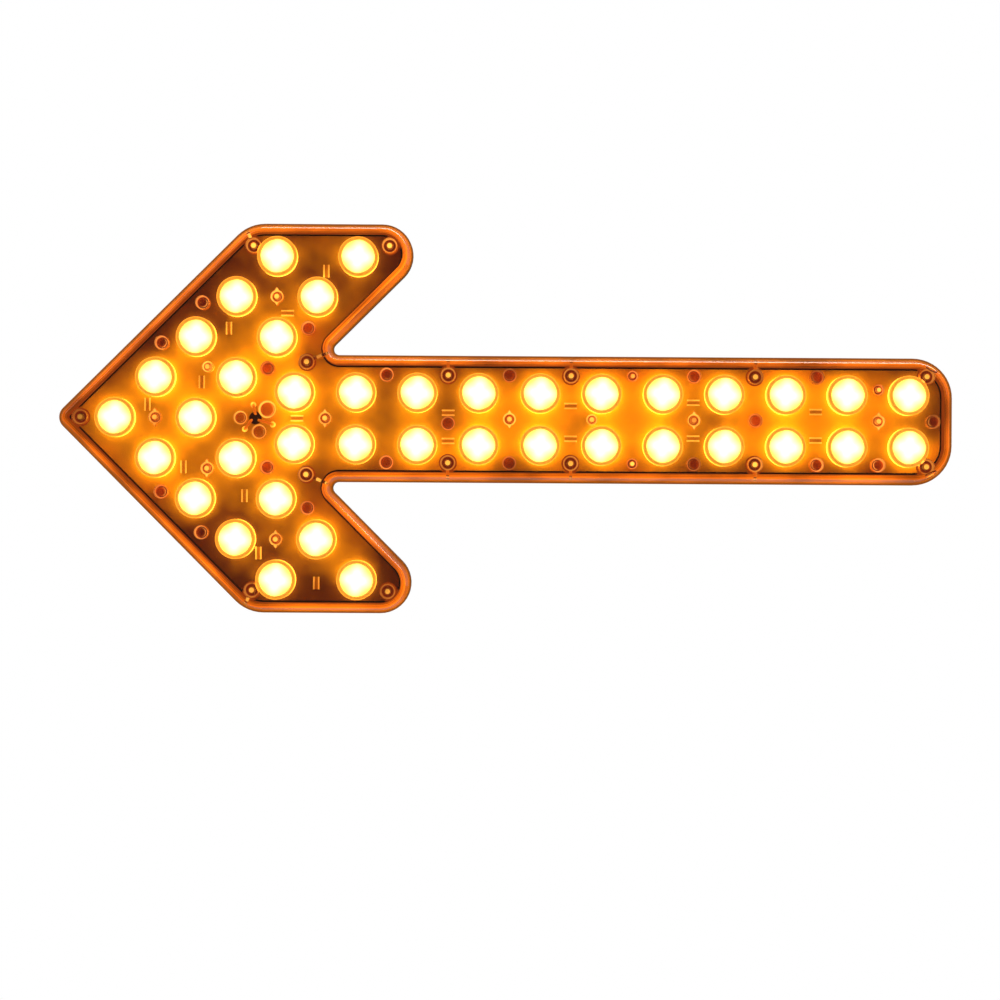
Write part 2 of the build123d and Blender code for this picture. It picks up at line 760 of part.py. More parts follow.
# ---- writing the parts -------------------------------------------------------------------------------
def main():
    os.makedirs("parts", exist_ok=True)
    made = {
        "front_cover": make_front_cover(),
        "rear_housing": make_rear_housing(),
        "cover_gasket": make_cover_gasket(),
        "cover_screws": make_cover_screws(),
        "circuit_board": make_circuit_board(),
        "board_screws": make_board_screws(),
        "leds": at_lamps(led()),
        "lens_holders": at_lamps(lens_holder()),
        "chip_resistors": make_chip_resistors(),
        "controller_chip": make_controller_chip(),
        "protection_diodes": make_protection_diodes(),
        "smoothing_capacitors": make_smoothing_capacitors(),
        "lead_wires": make_lead_wires(),
        "solder_joints": make_solder_joints(),
        "inlet_shell": make_inlet_shell(),
        "inlet_locknut": make_inlet_locknut(),
        "inlet_insert": make_inlet_insert(),
        "inlet_pins": make_inlet_pins(),
        "seal_rings": make_seal_rings(),
        "mounting_studs": make_mounting_studs(),
    }
    one_lens = lens()
    for name, (x, y) in lamp_places().items():
        made[f"lens_{name}"] = Pos(x, y, board_top) * one_lens
    for name, shape in made.items():
        export_step(stand_up(shape), f"parts/{name}.step")


main()
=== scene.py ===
"""Arrow signal lamp, lit: finishes for its casing, its board and its forty lamps, and a stage to show it on."""

import math

import bmesh
import bpy
from mathutils import Matrix, Vector


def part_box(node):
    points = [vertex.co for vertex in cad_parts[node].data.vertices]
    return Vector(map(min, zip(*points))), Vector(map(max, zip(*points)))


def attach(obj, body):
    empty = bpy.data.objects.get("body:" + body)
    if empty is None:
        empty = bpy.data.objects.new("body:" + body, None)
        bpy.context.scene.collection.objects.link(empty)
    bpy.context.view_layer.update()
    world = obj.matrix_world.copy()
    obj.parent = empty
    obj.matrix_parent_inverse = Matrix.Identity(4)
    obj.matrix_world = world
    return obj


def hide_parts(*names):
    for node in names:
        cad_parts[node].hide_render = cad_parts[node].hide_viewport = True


bl_info = {
    "name": "Arrow Signal Lamp",
    "version": (1, 0, 0),
    "blender": (4, 5, 0),
    "location": "View3D > Sidebar > Arrow Lamp",
    "description": "Finishes a lit arrow-shaped signal lamp and sets its stage",
    "category": "Object",
}

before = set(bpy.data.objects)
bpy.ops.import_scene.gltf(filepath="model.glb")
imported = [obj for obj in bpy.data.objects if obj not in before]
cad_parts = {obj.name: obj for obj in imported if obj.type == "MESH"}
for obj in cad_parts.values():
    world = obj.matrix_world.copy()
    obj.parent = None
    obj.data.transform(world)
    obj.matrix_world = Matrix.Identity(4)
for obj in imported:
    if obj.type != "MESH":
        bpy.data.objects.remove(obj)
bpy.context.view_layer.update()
MM = 0.001

BOARD_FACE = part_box("circuit_board")[0].y  # the lit side of the board; the lamp looks towards -Y
COVER_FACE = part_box("front_cover")[0].y
MOUNTING_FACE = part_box("rear_housing")[1].y  # the studs stick out of it
LENS_NODES = sorted(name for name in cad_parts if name.startswith("lens_") and name != "lens_holders")
WARM_LIGHT = "#FF8C28"  # lamp light after a long way through amber plastic


# ---- small tools -------------------------------------------------------------------------------------
def linear(colour, alpha=1.0):
    """An sRGB hex colour, such as "#FFAA33", as the linear colour that shaders use."""
    parts = [int(colour[i : i + 2], 16) / 255 for i in (1, 3, 5)]
    bright = [c / 12.92 if c <= 0.04045 else ((c + 0.055) / 1.055) ** 2.4 for c in parts]
    return (*bright, alpha)


def add(tree, kind, inputs=None, stops=(), **settings):
    """Adds a node. Each input is a value, or another node's output to link from. A colour ramp also takes
    its stops, each a place and a linear colour."""
    made = tree.nodes.new(f"ShaderNode{kind}")
    for name, value in settings.items():
        setattr(made, name, value)
    for key, value in (inputs or {}).items():
        if isinstance(value, bpy.types.NodeSocket):
            tree.links.new(value, made.inputs[key])
        else:
            made.inputs[key].default_value = value
    for extra in stops[2:]:
        made.color_ramp.elements.new(extra[0])
    for number, (place, colour) in enumerate(stops):
        made.color_ramp.elements[number].position = place
        made.color_ramp.elements[number].color = colour
    return made


def shares(stops, whole):
    """The stops of a ramp that gives each value as its share of the whole."""
    return [(place, (value / whole,) * 3 + (1.0,)) for place, value in stops]


def material(name):
    """An empty material: its tree and its output."""
    made = bpy.data.materials.new(name)
    made.use_nodes = True
    made.node_tree.nodes.clear()
    return made, made.node_tree, add(made.node_tree, "OutputMaterial")


def finish_node(node, made):
    """Gives a CAD node its material."""
    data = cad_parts[node].data
    data.materials.clear()
    data.materials.append(made)


def welded(node):
    """The mesh of a CAD node with its loose triangles joined."""
    bm = bmesh.new()
    bm.from_mesh(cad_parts[node].data)
    bmesh.ops.remove_doubles(bm, verts=bm.verts, dist=0.002 * MM)
    return bm


def piece(name, bm, made, replaced=(), sharp=35.0):
    """A finished piece from a bmesh: smooth but for its sharp edges, riding on the lamp."""
    mesh = bpy.data.meshes.new(name)
    bm.to_mesh(mesh)
    bm.free()
    if "custom_normal" in mesh.attributes:  # left over from the loose triangles
        mesh.attributes.remove(mesh.attributes["custom_normal"])
    mesh.shade_smooth()
    mesh.set_sharp_from_angle(angle=math.radians(sharp))
    mesh.materials.append(made)
    thing = bpy.data.objects.new(name, mesh)
    bpy.context.collection.objects.link(thing)
    flats = thing.modifiers.new("flats stay flat", "WEIGHTED_NORMAL")
    flats.weight, flats.keep_sharp = 100, True
    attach(thing, "root")
    if replaced:
        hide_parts(*replaced)
    return thing


def box_round(places):
    """The lowest and the highest corner of the box round some places."""
    return [Vector([pick(place[i] for place in places) for i in range(3)]) for pick in (min, max)]


def parts_of(node):
    """The box of each separate part of a CAD node, as (lowest, highest) corners."""
    bm = welded(node)
    unseen, boxes = set(bm.verts), []
    while unseen:
        reached = [unseen.pop()]
        for vert in reached:
            near = {edge.other_vert(vert) for edge in vert.link_edges} & unseen
            unseen -= near
            reached.extend(near)
        boxes.append(box_round([vert.co for vert in reached]))
    bm.free()
    return sorted(boxes, key=lambda box: tuple(box[0]))


def lens_centre(node):
    """The middle of a lens, at its face."""
    low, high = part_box(node)
    return Vector(((low.x + high.x) / 2, low.y, (low.z + high.z) / 2))


def islands(faces):
    """Splits faces into groups that touch along edges."""
    unseen, groups = set(faces), []
    while unseen:
        group = [unseen.pop()]
        for face in group:
            near = {other for edge in face.edges for other in edge.link_faces} & unseen
            unseen -= near
            group.extend(near)
        groups.append(group)
    return groups


def unwrap_face_on(bm, centres, radius, faces=None):
    """A UV map seen from the front in which each round thing, out to radius, fills the whole square."""
    layer = bm.loops.layers.uv.get("face_on") or bm.loops.layers.uv.new("face_on")
    places = {}
    faces = faces or bm.faces
    for vert in {vert for face in faces for vert in face.verts}:
        centre = min(centres, key=lambda c: (c.x - vert.co.x) ** 2 + (c.z - vert.co.z) ** 2)
        away = (vert.co - centre) / radius
        places[vert] = (0.5 + away.x / 2, 0.5 + away.z / 2)
    for face in faces:
        for loop in face.loops:
            loop[layer].uv = places[loop.vert]


def from_axis(tree):
    """In a material on a face-on UV map: the place across the lamp, and its distance from the axis."""
    square = add(tree, "UVMap").outputs["UV"]
    flat = add(tree, "Mapping", {"Vector": square, "Location": (-1, -1, 0), "Scale": (2, 2, 1)}).outputs[0]
    return flat, add(tree, "VectorMath", {0: flat}, operation="LENGTH").outputs["Value"]


# ---- shapes ------------------------------------------------------------------------------------------
def edges_of(made):
    """The edges of a shape that a bmesh operator has just made, each once and always in the same order."""
    return list(dict.fromkeys(edge for vert in made["verts"] for edge in vert.link_edges))


def threaded(bm, centre, radius, pitch, low, high, root, steps=28):
    """Adds a rod along Y whose outside is a rolled thread, with a chamfered end at high."""
    rod = bmesh.new()
    turns = math.ceil((high - low) / pitch) + 2
    profile = [(root, 0.0), (root, 0.12), (radius, 0.46), (radius, 0.58), (root, 0.92), (root, 1.0)]
    verts = [rod.verts.new((centre.x + r, low - pitch + t * pitch, centre.z)) for r, t in profile]
    edges = [rod.edges.new(pair) for pair in zip(verts, verts[1:])]
    bmesh.ops.spin(
        rod,
        geom=verts + edges,
        cent=centre,
        axis=(0, 1, 0),
        dvec=(0, pitch / steps, 0),
        angle=math.tau * turns,
        steps=steps * turns,
        use_duplicate=False,
    )
    bmesh.ops.remove_doubles(rod, verts=rod.verts, dist=0.004 * MM)
    for level, way in ((low, -1), (high, 1)):
        geom = rod.verts[:] + rod.edges[:] + rod.faces[:]
        cut = bmesh.ops.bisect_plane(
            rod, geom=geom, plane_co=(0, level, 0), plane_no=(0, way, 0), clear_outer=True, dist=0.0001 * MM
        )
        rim = [item for item in cut["geom_cut"] if isinstance(item, bmesh.types.BMEdge)]
        bmesh.ops.edgenet_fill(rod, edges=rim)
    bmesh.ops.triangulate(rod, faces=[face for face in rod.faces if len(face.verts) > 4])
    bmesh.ops.recalc_face_normals(rod, faces=rod.faces)
    taper = 1.2 * (radius - root)
    for vert in rod.verts:
        away = Vector((vert.co.x - centre.x, 0, vert.co.z - centre.z))
        room = root - 0.1 * MM + max(0.0, high - vert.co.y) * (radius - root) / taper
        if away.length > room:
            vert.co.x = centre.x + away.x * room / away.length
            vert.co.z = centre.z + away.z * room / away.length
    mesh = bpy.data.meshes.new("rod")
    rod.to_mesh(mesh)
    rod.free()
    bm.from_mesh(mesh)
    bpy.data.meshes.remove(mesh)


def turned(bm, start, radius, length, sides, edge=0.0):
    """Adds a round or many-sided bar along Y from start, with the edges of its two ends taken off."""
    along = Matrix.Translation(start + Vector((0, length / 2, 0))) @ Matrix.Rotation(math.pi / 2, 4, "X")
    spun = along @ Matrix.Rotation(math.pi / 6, 4, "Z")
    made = bmesh.ops.create_cone(
        bm, cap_ends=True, segments=sides, radius1=radius, radius2=radius, depth=length, matrix=spun
    )
    if edge:
        ends = [e for e in edges_of(made) if abs(e.verts[0].co.y - e.verts[1].co.y) < 0.5 * length]
        bmesh.ops.bevel(bm, geom=ends, offset=edge, segments=2, profile=0.5, affect="EDGES", material=-1)


def block(bm, middle, size, edge):
    """Adds a small block with its edges taken off."""
    made = bmesh.ops.create_cube(bm, size=1.0, matrix=Matrix.Translation(middle) @ Matrix.Diagonal((*size, 1)))
    bmesh.ops.bevel(bm, geom=edges_of(made), offset=edge, segments=2, profile=0.5, affect="EDGES", material=-1)


# ---- settings ----------------------------------------------------------------------------------------
def colour_setting(name, description, colour):
    return bpy.props.FloatVectorProperty(
        name=name, description=description, default=linear(colour), size=4, min=0.0, max=1.0, subtype="COLOR"
    )


def strength_setting(name, description, strength):
    return bpy.props.FloatProperty(name=name, description=description, default=strength, min=0.0)


def length_setting(name, description, millimetres):
    return bpy.props.FloatProperty(
        name=name, description=description, default=millimetres * MM, unit="LENGTH", precision=5
    )


class CasingSettings(bpy.types.PropertyGroup):
    """Colours and sizes of the cover, the tray and the studs"""

    cover_tint: colour_setting("Cover", "What the clear amber cover lets through", "#FFB23C")
    shaded_tint: colour_setting("Shade", "Light left after a wall of the cover", "#D9822A")
    # On the roofs of the bores the deep tint is painted shade.
    deep_tint: colour_setting("Deep", "Light left after the length of a tube", "#AE5018")
    face_thickness: length_setting("Face", "Thickness of the cover's front", 2.5)
    wall_glow: strength_setting("Wall glow", "Light that leaves at the walls", 0.33)
    end_glow: strength_setting("End glow", "Light that leaves at posts and tubes", 0.8)
    joint_glow: strength_setting("Joint glow", "Light caught at the joint", 0.26)
    housing: colour_setting("Housing", "Black moulded tray", "#1C1B1C")
    stud_radius: length_setting("Stud", "Outside radius of a stud's thread", 3.0)
    stud_pitch: length_setting("Stud pitch", "From one turn of the thread to the next", 1.0)
    head_height: length_setting("Stud head", "Height of a stud's hexagon", 4.0)
    housing_grain: length_setting("Grain", "Width of the tray's spark-eroded grain", 0.6)


class BoardSettings(bpy.types.PropertyGroup):
    """Colours of the circuit board"""

    # The darkest colour also stands for painted shade away from the arrow's axis, and the thin-mask colour for
    # painted light near it.
    laminate_and_painted_shade: colour_setting("Laminate", "Board with no copper under its mask", "#50340A")
    mask: colour_setting("Mask", "Solder mask over copper", "#A18C06")
    thin_mask_and_painted_light: colour_setting("Mask, thin", "Where the mask lies thin over copper", "#C8A80C")
    weave: length_setting("Weave", "Pitch of the laminate's glass weave", 0.9)


class LightSettings(bpy.types.PropertyGroup):
    """Light of the lamps and their holders"""

    core: strength_setting("Core", "Strength at the middle of a lamp", 30.0)
    rim: strength_setting("Rim", "Strength at the edge of a lamp's face", 4.5)
    lip: strength_setting("Lip", "Strength of the lip of a lens holder", 0.55)
    edge: strength_setting("Edge", "Strength of a holder's outer edge", 1.3)
    wall: strength_setting("Wall", "Strength of the side of a holder", 3.1)
    spill: strength_setting("Spill", "Strength at the foot of a holder", 8.0)
    colour: colour_setting("Light", "Cool white light of the LEDs", "#C9D8FF")
    holder_radius: length_setting("Holder", "Radius of a lens holder", 10.0)


class StageSettings(bpy.types.PropertyGroup):
    """The camera, the floor and the light round the lamp"""

    span: length_setting("Span", "Width seen by the camera at the lamp", 506.0)
    distance: length_setting("Distance", "From the camera to the lamp", 3000.0)
    aim_right: length_setting("Aim right", "Middle of the view, to the right of the lamp's origin", -2.5)
    aim_down: length_setting("Aim down", "Middle of the view, below the lamp's axis", 40.55)
    roll: bpy.props.FloatProperty(
        name="Roll", description="Roll of the camera", default=math.radians(0.35), subtype="ANGLE"
    )
    floor_drop: length_setting("Floor", "From the lamp's axis down to the floor", 420.0)
    ambient: strength_setting("Ambient", "Light from all round the stage", 0.09)
    floor: colour_setting("Floor colour", "Pale floor", "#F7F7F7")


# ---- finishes ----------------------------------------------------------------------------------------
def amber_polycarbonate(settings, name, roughness, glow=0.0, colour="#FFFFFF", gloss=0.5, shine=()):
    """Injection-moulded polycarbonate, tinted through: clear and glossy, with faint flow marks. The plastic
    carries the lamps' light, which leaves at its walls and ends, unevenly along their length."""
    made, tree, output = material(name)
    place = add(tree, "TexCoord").outputs["Object"]
    flow = add(tree, "TexNoise", {"Vector": place, "Scale": 1 / (60 * MM), "Detail": 2.0})
    bump = add(tree, "Bump", {"Height": flow.outputs["Fac"], "Strength": 0.05, "Distance": 1 * MM})
    carried = add(tree, "TexNoise", {"Vector": place, "Scale": 1 / (28 * MM), "Detail": 3.0})
    faint, strong = glow * 0.45, glow * 1.9
    span = {"From Min": 0.35, "From Max": 0.65, "To Min": faint, "To Max": strong}
    strength = add(tree, "MapRange", {"Value": carried.outputs["Fac"], **span})
    clear = add(
        tree,
        "BsdfPrincipled",
        {
            "Base Color": settings.cover_tint,
            "Roughness": roughness,
            "IOR": 1.585,
            "Specular IOR Level": gloss,
            "Transmission Weight": 1.0,
            "Normal": bump.outputs["Normal"],
        },
    )
    if glow:
        if shine:  # the part of a tube's end, from its axis outwards, that shines; the rest is deep in tint
            clear.inputs["Base Color"].default_value = settings.deep_tint
            edge = add(tree, "ValToRGB", {"Fac": from_axis(tree)[1]}, shares(shine, 1.0))
            strength = add(tree, "Math", {0: strength.outputs[0], 1: edge.outputs[0]}, operation="MULTIPLY")
        clear.inputs["Emission Color"].default_value = linear(colour)
        tree.links.new(strength.outputs[0], clear.inputs["Emission Strength"])
    through = add(tree, "BsdfTransparent", {"Color": settings.shaded_tint})
    shadow = add(tree, "LightPath").outputs["Is Shadow Ray"]
    surface = add(tree, "MixShader", {0: shadow, 1: clear.outputs[0], 2: through.outputs[0]})
    tree.links.new(surface.outputs[0], output.inputs["Surface"])
    return made


def black_abs(settings):
    """ABS moulded in a spark-eroded tool: a fine even grain that breaks up the gloss. Its lip and tongue
    catch the light that the cover carries down to the joint."""
    made, tree, output = material("black_abs")
    place = add(tree, "TexCoord").outputs["Object"]
    grain = add(tree, "TexNoise", {"Vector": place, "Scale": 1 / settings.housing_grain, "Detail": 3.0})
    wear = add(tree, "TexNoise", {"Vector": place, "Scale": 1 / (35 * MM), "Detail": 4.0})
    rough = add(tree, "MapRange", {"Value": wear.outputs["Fac"], "To Min": 0.42, "To Max": 0.58})
    stops = [(0.3, settings.housing), (0.75, linear("#262527"))]
    tone = add(tree, "ValToRGB", {"Fac": wear.outputs["Fac"]}, stops)
    bump = add(tree, "Bump", {"Height": grain.outputs["Fac"], "Strength": 0.25, "Distance": 0.05 * MM})
    level = add(tree, "SeparateXYZ", {0: place}).outputs["Y"]
    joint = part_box("front_cover")[1].y + 0.3 * MM
    span = {"From Min": joint + 0.1 * MM, "From Max": joint + 0.02 * MM, "To Max": settings.joint_glow}
    caught = add(tree, "MapRange", {"Value": level, **span})
    surface = add(
        tree,
        "BsdfPrincipled",
        {
            "Base Color": tone.outputs[0],
            "Roughness": rough.outputs[0],
            "IOR": 1.53,
            "Normal": bump.outputs["Normal"],
            "Emission Color": linear(WARM_LIGHT),
            "Emission Strength": caught.outputs[0],
        },
    )
    tree.links.new(surface.outputs[0], output.inputs["Surface"])
    return made


def plain_finish(name, colours, roughness, scale, metallic=0.0):
    """A surface that varies between two colours and two roughnesses over a real distance in metres."""
    made, tree, output = material(name)
    place = add(tree, "TexCoord").outputs["Object"]
    marks = add(tree, "TexNoise", {"Vector": place, "Scale": 1 / scale, "Detail": 4.0})
    stops = [(0.3, linear(colours[0])), (0.7, linear(colours[1]))]
    tone = add(tree, "ValToRGB", {"Fac": marks.outputs["Fac"]}, stops)
    rough = add(
        tree, "MapRange", {"Value": marks.outputs["Fac"], "To Min": roughness[0], "To Max": roughness[1]}
    )
    dents = add(tree, "Bump", {"Height": marks.outputs["Fac"], "Strength": 0.1, "Distance": 0.05 * MM})
    surface = add(
        tree,
        "BsdfPrincipled",
        {
            "Base Color": tone.outputs[0],
            "Metallic": metallic,
            "Roughness": rough.outputs[0],
            "Normal": dents.outputs["Normal"],
        },
    )
    tree.links.new(surface.outputs[0], output.inputs["Surface"])
    return made


def masked_laminate(settings):
    """Glass-epoxy board under solder mask: a faint woven ripple, and broad patches lighter and darker at
    random. It is also painted lighter near the arrow's axis and darker away from it: painted light and painted
    shade."""
    made, tree, output = material("masked_laminate")
    place = add(tree, "TexCoord").outputs["Object"]
    wave_scale = math.tau / (20 * settings.weave)  # a wave texture turns over 20 times its coordinate
    across = [
        add(
            tree,
            "TexWave",
            {"Vector": place, "Scale": wave_scale, "Distortion": 0.4},
            bands_direction=direction,
        )
        for direction in ("X", "Z")
    ]
    weave = add(tree, "Math", {0: across[0].outputs["Fac"], 1: across[1].outputs["Fac"]}, operation="MULTIPLY")
    patches = add(tree, "TexNoise", {"Vector": place, "Scale": 1 / (45 * MM), "Detail": 3.0})
    height = add(tree, "SeparateXYZ", {0: place}).outputs["Z"]
    off_axis = add(tree, "Math", {0: height}, operation="ABSOLUTE")
    # Painted light and shade: lighter within 18 mm of the arrow's axis, darker beyond, darkest past 70 mm.
    copper = {"From Min": 18 * MM, "From Max": 70 * MM, "To Min": 0.3, "To Max": -0.12}
    painted_axis_light = add(tree, "MapRange", {"Value": off_axis.outputs[0], **copper})
    wider = {"From Min": 0.35, "From Max": 0.65, "To Min": 0.2, "To Max": 0.8}
    uneven = add(tree, "MapRange", {"Value": patches.outputs["Fac"], **wider})
    patches_and_painted_light = add(tree, "Math", {0: uneven.outputs[0], 1: painted_axis_light.outputs[0]}, operation="ADD")
    # The darkest stop lies mostly away from the axis, as painted shade, and the lightest mostly near it, as
    # painted light.
    stops = [(0.35, settings.laminate_and_painted_shade), (0.75, settings.mask), (0.95, settings.thin_mask_and_painted_light)]
    tone = add(tree, "ValToRGB", {"Fac": patches_and_painted_light.outputs[0]}, stops)
    bump = add(tree, "Bump", {"Height": weave.outputs[0], "Strength": 0.12, "Distance": 0.03 * MM})
    surface = add(
        tree,
        "BsdfPrincipled",
        {"Base Color": tone.outputs[0], "Roughness": 0.38, "IOR": 1.52, "Normal": bump.outputs["Normal"]},
    )
    tree.links.new(surface.outputs[0], output.inputs["Surface"])
    return made


def lit_acrylic(settings):
    """A moulded acrylic collimator with its LED on: burnt out in the middle, four lobes towards the edge."""
    made, tree, output = material("lit_acrylic")
    flat, reach = from_axis(tree)
    axes = add(tree, "SeparateXYZ", {0: flat})
    turn = add(tree, "Math", {0: axes.outputs["Y"], 1: axes.outputs["X"]}, operation="ARCTAN2")
    fourfold = add(tree, "Math", {0: turn.outputs[0], 1: 4.0, 2: 0.6}, operation="MULTIPLY_ADD")
    lobe = add(tree, "Math", {0: fourfold.outputs[0]}, operation="COSINE")
    swept = add(tree, "Math", {0: lobe.outputs[0], 1: -0.08, 2: reach}, operation="MULTIPLY_ADD")
    core, rim = settings.core, settings.rim
    face = shares([(0.0, core), (0.4, core * 0.85), (0.6, core * 0.55), (0.75, core * 0.33), (0.87, rim)], core)
    flange = shares([(0.0, 1.0), (0.875, 1.0), (0.895, 0.09), (1.0, 0.09)], 1.0)
    inner = add(tree, "ValToRGB", {"Fac": swept.outputs[0]}, face)
    edge = add(tree, "ValToRGB", {"Fac": reach}, flange)
    share = add(tree, "Math", {0: inner.outputs[0], 1: edge.outputs[0]}, operation="MULTIPLY")
    strength = add(tree, "Math", {0: share.outputs[0], 1: core}, operation="MULTIPLY")
    surface = add(
        tree,
        "BsdfPrincipled",
        {
            "Base Color": linear("#F6F1E6"),
            "Roughness": 0.2,
            "IOR": 1.49,
            "Emission Color": settings.colour,
            "Emission Strength": strength.outputs[0],
        },
    )
    tree.links.new(surface.outputs[0], output.inputs["Surface"])
    return made


def glowing_holder(settings):
    """Natural polycarbonate round a lit lens: it carries light to its outer edge and to its foot."""
    made, tree, output = material("glowing_polycarbonate")
    _, reach = from_axis(tree)
    place = add(tree, "SeparateXYZ", {0: add(tree, "TexCoord").outputs["Object"]})
    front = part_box("lens_holders")[0].y
    depth = add(tree, "MapRange", {"Value": place.outputs["Y"], "From Min": front, "From Max": BOARD_FACE})
    on_lip = add(tree, "Math", {0: depth.outputs[0], 1: 0.01}, operation="LESS_THAN")
    wall, spill = settings.wall, settings.spill
    lip_stops = [(0.0, 0.5), (0.89, settings.lip), (0.955, settings.lip * 1.3), (0.965, settings.edge)]
    wall_stops = [(0.0, 0.6), (0.06, wall * 0.35), (0.45, wall * 0.8), (0.86, wall * 1.7), (0.96, spill)]
    lip = add(tree, "ValToRGB", {"Fac": reach}, shares(lip_stops, spill))
    side = add(tree, "ValToRGB", {"Fac": depth.outputs[0]}, shares(wall_stops, spill))
    share = add(tree, "Mix", {0: on_lip.outputs[0], 2: side.outputs[0], 3: lip.outputs[0]}, data_type="FLOAT")
    strength = add(tree, "Math", {0: share.outputs[0], 1: spill}, operation="MULTIPLY")
    surface = add(
        tree,
        "BsdfPrincipled",
        {
            "Base Color": linear("#D9D2BE"),
            "Roughness": 0.3,
            "IOR": 1.585,
            "Emission Color": linear("#FFF0D0"),
            "Emission Strength": strength.outputs[0],
        },
    )
    tree.links.new(surface.outputs[0], output.inputs["Surface"])
    return made


# ---- operators ---------------------------------------------------------------------------------------
class LAMP_OT_cover(bpy.types.Operator):
    """Makes the clear front cover, with a finish for each zone of its moulding that lights up"""

    bl_idname = "arrow_lamp.cover"
    bl_label = "Front cover"

    def execute(self, context):
        settings = context.scene.lamp_casing
        glow, ends = settings.wall_glow, settings.end_glow
        edge = [(0.76, 0.0), (0.86, 1.0)]
        middle = [(0.6, 1.0), (0.8, 0.0)]
        clear = amber_polycarbonate(settings, "amber_polycarbonate", 0.02)
        zones = [
            amber_polycarbonate(settings, "amber_wall", 0.08, glow, WARM_LIGHT, gloss=0.2),
            amber_polycarbonate(settings, "amber_skin", 0.05, glow * 0.35, WARM_LIGHT, gloss=0.2),
            amber_polycarbonate(settings, "amber_tubes", 0.25, ends * 0.15, "#FFBA86"),
            amber_polycarbonate(settings, "amber_tube_ends", 0.25, ends * 0.75, "#FFB084", shine=edge),
            amber_polycarbonate(settings, "amber_guard_ends", 0.25, ends, "#FFD08A", shine=edge),
            amber_polycarbonate(settings, "amber_post_ends", 0.25, ends * 0.6, "#FFC080", shine=edge),
            # The middle of each screw's end is painted bright: a painted glint standing for the screw head
            # under it.
            amber_polycarbonate(settings, "amber_screw_glints", 0.25, ends * 1.2, "#FFD890", shine=middle),
            # The roofs of the bores are painted dark in the deep tint, with a faint glow at their edge: painted
            # shade, as little light comes back down a bore.
            amber_polycarbonate(settings, "amber_shaded_bores", 0.25, ends * 0.04, "#A04414", shine=edge),
        ]
        wall, skin, tube, tube_end, guard_end, post_end, screw_end, bore = range(1, len(zones) + 1)
        bm = welded("front_cover")
        bm.normal_update()
        inside = COVER_FACE + settings.face_thickness
        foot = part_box("front_cover")[1].y
        rims = []
        for face in bm.faces:  # lean is 1 where a face looks back into the lamp, and 0 where it stands upright
            lean, level = face.normal.y, face.calc_center_median().y
            if abs(lean) < 0.03 and inside - 0.1 * MM < level:
                face.material_index = tube
            elif abs(lean) < 0.2:
                face.material_index = wall if lean > 0 else skin
            elif lean > 0.99:
                rims.append(face)
        for patch in islands(rims):
            level = patch[0].calc_center_median().y
            low, high = box_round([vert.co for face in patch for vert in face.verts])
            half = min(high.x - low.x, high.z - low.z) / 2
            if half > 6 * MM:
                zone = wall if level > foot - 0.2 * MM else 0
            elif half < 1 * MM:
                zone = wall
            elif half < 2 * MM:
                zone = screw_end
            elif level > foot - 0.2 * MM:
                zone = post_end
            elif level > BOARD_FACE - 1 * MM:
                zone = tube_end
            elif level > inside + 0.5 * MM:
                zone = guard_end
            else:
                zone = bore
            for face in patch:
                face.material_index = zone
            unwrap_face_on(bm, [(low + high) / 2], half, patch)
        cover = piece("clear_cover", bm, clear, ["front_cover"], sharp=28.0)
        for made in zones:
            cover.data.materials.append(made)
        return {"FINISHED"}


class LAMP_OT_housing(bpy.types.Operator):
    """Finishes the tray, its gasket and the seal rings"""

    bl_idname = "arrow_lamp.housing"
    bl_label = "Rear housing and seals"

    def execute(self, context):
        finish_node("rear_housing", black_abs(context.scene.lamp_casing))
        rubber = plain_finish("silicone_rubber", ("#141414", "#1E1E1E"), (0.6, 0.75), 8 * MM)
        for node in ("cover_gasket", "seal_rings"):
            finish_node(node, rubber)
        return {"FINISHED"}


class LAMP_OT_fasteners(bpy.types.Operator):
    """Finishes the screws and the mounting studs"""

    bl_idname = "arrow_lamp.fasteners"
    bl_label = "Screws and studs"

    def execute(self, context):
        zinc = plain_finish("zinc_plated_steel", ("#B9B6A8", "#DAD7CC"), (0.22, 0.36), 3 * MM, metallic=1.0)
        finish_node("cover_screws", zinc)
        flake = plain_finish("zinc_flake_steel", ("#E6E3DA", "#F4F2EC"), (0.45, 0.6), 3 * MM, metallic=0.25)
        finish_node("board_screws", flake)
        stainless = plain_finish("stainless_steel", ("#A9A9A6", "#C4C4C0"), (0.25, 0.38), 2 * MM, metallic=1.0)
        settings = context.scene.lamp_casing
        studs = bmesh.new()
        for low, high in parts_of("mounting_studs"):
            centre = Vector(((low.x + high.x) / 2, low.y, (low.z + high.z) / 2))
            root = settings.stud_radius - 0.61 * settings.stud_pitch
            threaded(studs, centre, settings.stud_radius, settings.stud_pitch, MOUNTING_FACE, high.y, root)
            neck = settings.stud_radius - 0.4 * MM
            turned(studs, centre + Vector((0, 2 * MM, 0)), neck, MOUNTING_FACE - low.y - 1.9 * MM, 48)
            turned(studs, centre, (high.z - low.z) / math.sqrt(3), settings.head_height, 6, edge=0.35 * MM)
        piece("threaded_studs", studs, stainless, ["mounting_studs"])
        return {"FINISHED"}


